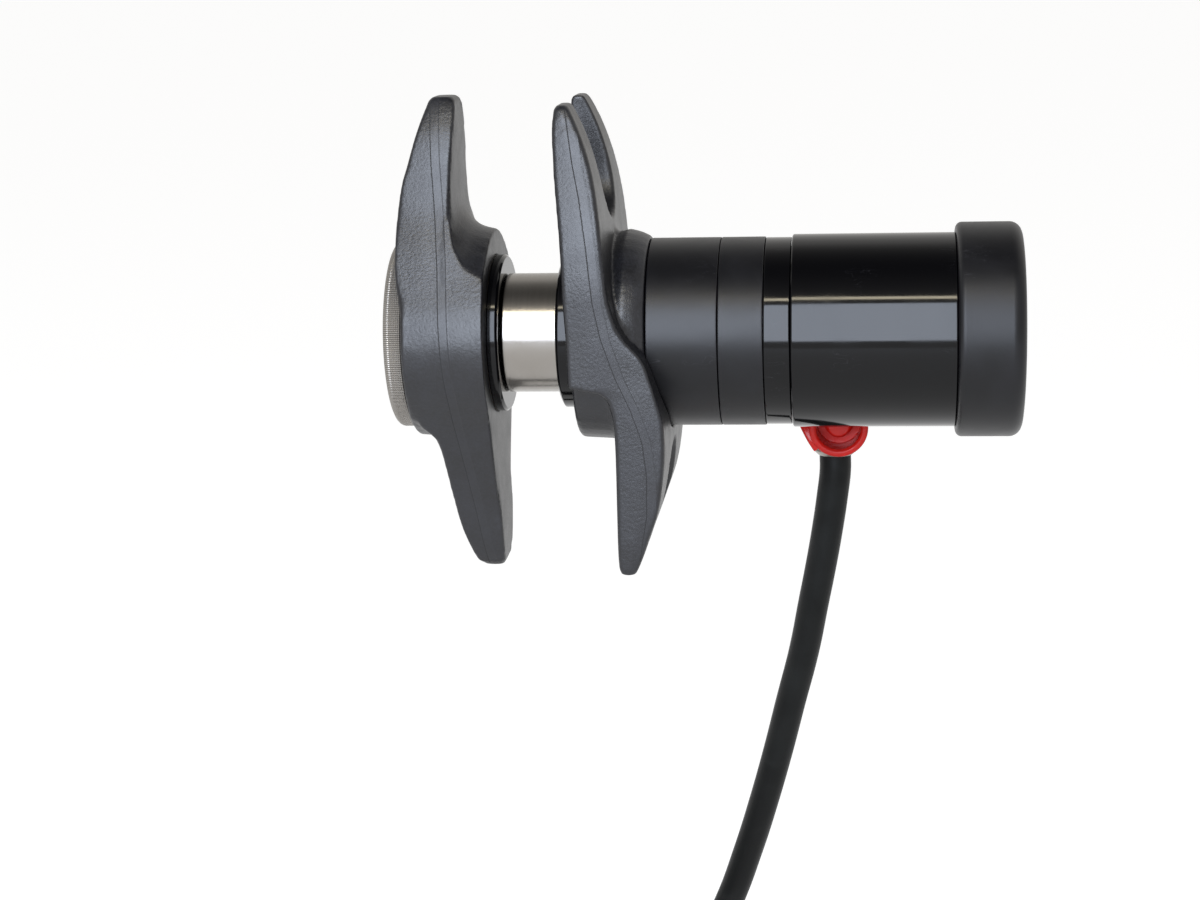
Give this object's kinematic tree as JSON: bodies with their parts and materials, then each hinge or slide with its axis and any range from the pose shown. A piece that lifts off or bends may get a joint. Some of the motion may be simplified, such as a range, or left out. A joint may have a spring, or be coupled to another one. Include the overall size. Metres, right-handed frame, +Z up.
{
  "type": "hydraulic wheel stud press",
  "caption": "Hydraulic pull cylinder with a forged fork and a swivelling press jaw for pressing wheel studs out of a hub, with its coupler, red dust cap and coiled hose.",
  "frame": {"origin": "on the axis of the stud that is pressed, in the plane of the fork's lower bearing faces", "axes": "+X along the cylinder towards its end cap, +Z up from the stud to the cylinder's axis, +Y behind the tool, where its port is"},
  "size_m": [0.3545, 0.233, 0.4798],
  "materials": {
    "forged_black": "blackened forging skin, satin",
    "satin_black": "satin",
    "gloss_black": "gloss",
    "rod_chrome": "polished",
    "bright_steel": "satin",
    "bronze": "satin",
    "black_rubber": "matt",
    "red_plastic": "satin"
  },
  "bodies": {
    "cylinder": {"fork_jaw": "forged_black", "front_head": "satin_black", "guide_bush": "bronze", "rod_seal": "black_rubber", "rod_wiper": "gloss_black", "lock_ring": "satin_black", "band_ring": "gloss_black", "barrel": "gloss_black", "end_cap": "satin_black", "return_spring": "bright_steel", "port_nipple": "bright_steel", "port_elbow": "bright_steel", "coupler_nipple": "bright_steel", "coupler_body": "bright_steel", "hose_ferrule": "bright_steel", "hose_drop": "black_rubber", "hose_coil": "black_rubber", "far_ferrule": "bright_steel", "far_nipple": "bright_steel", "far_dust_cap": "red_plastic"},
    "ram": {"piston_rod": "rod_chrome", "piston": "bright_steel", "piston_seal": "black_rubber", "piston_guide_ring": "bronze", "collar_ring": "gloss_black", "thrust_washer": "bright_steel"},
    "press_jaw": {"press_jaw": "forged_black"},
    "nut": {"knurled_nut": "bright_steel"},
    "sleeve": {"coupler_sleeve": "bright_steel"},
    "cap": {"dust_cap": "red_plastic"}
  },
  "joints": [
    {"name": "rod_stroke", "type": "slide", "parent": "cylinder", "child": "ram", "axis": [1, 0, 0], "range_m": [0, 0.0225], "deforming": ["return_spring"]},
    {"name": "press_jaw_turn", "type": "hinge", "parent": "ram", "child": "press_jaw", "pos_m": [-0.0709, 0, 0.084], "axis": [1, 0, 0], "continuous": true},
    {"name": "nut_turn", "type": "hinge", "parent": "ram", "child": "nut", "pos_m": [-0.0922, 0, 0.084], "axis": [1, 0, 0], "continuous": true},
    {"name": "sleeve_slide", "type": "slide", "parent": "cylinder", "child": "sleeve", "axis": [0, 0, -1], "range_m": [0, 0.005], "stiffness_N_per_m": 800, "springref_m": -0.002},
    {"name": "dust_cap_swivel", "type": "hinge", "parent": "cylinder", "child": "cap", "pos_m": [0.0866, 0.058, 0.0685], "axis": [0, 0, 1], "range_deg": [-25, 25]}
  ]
}
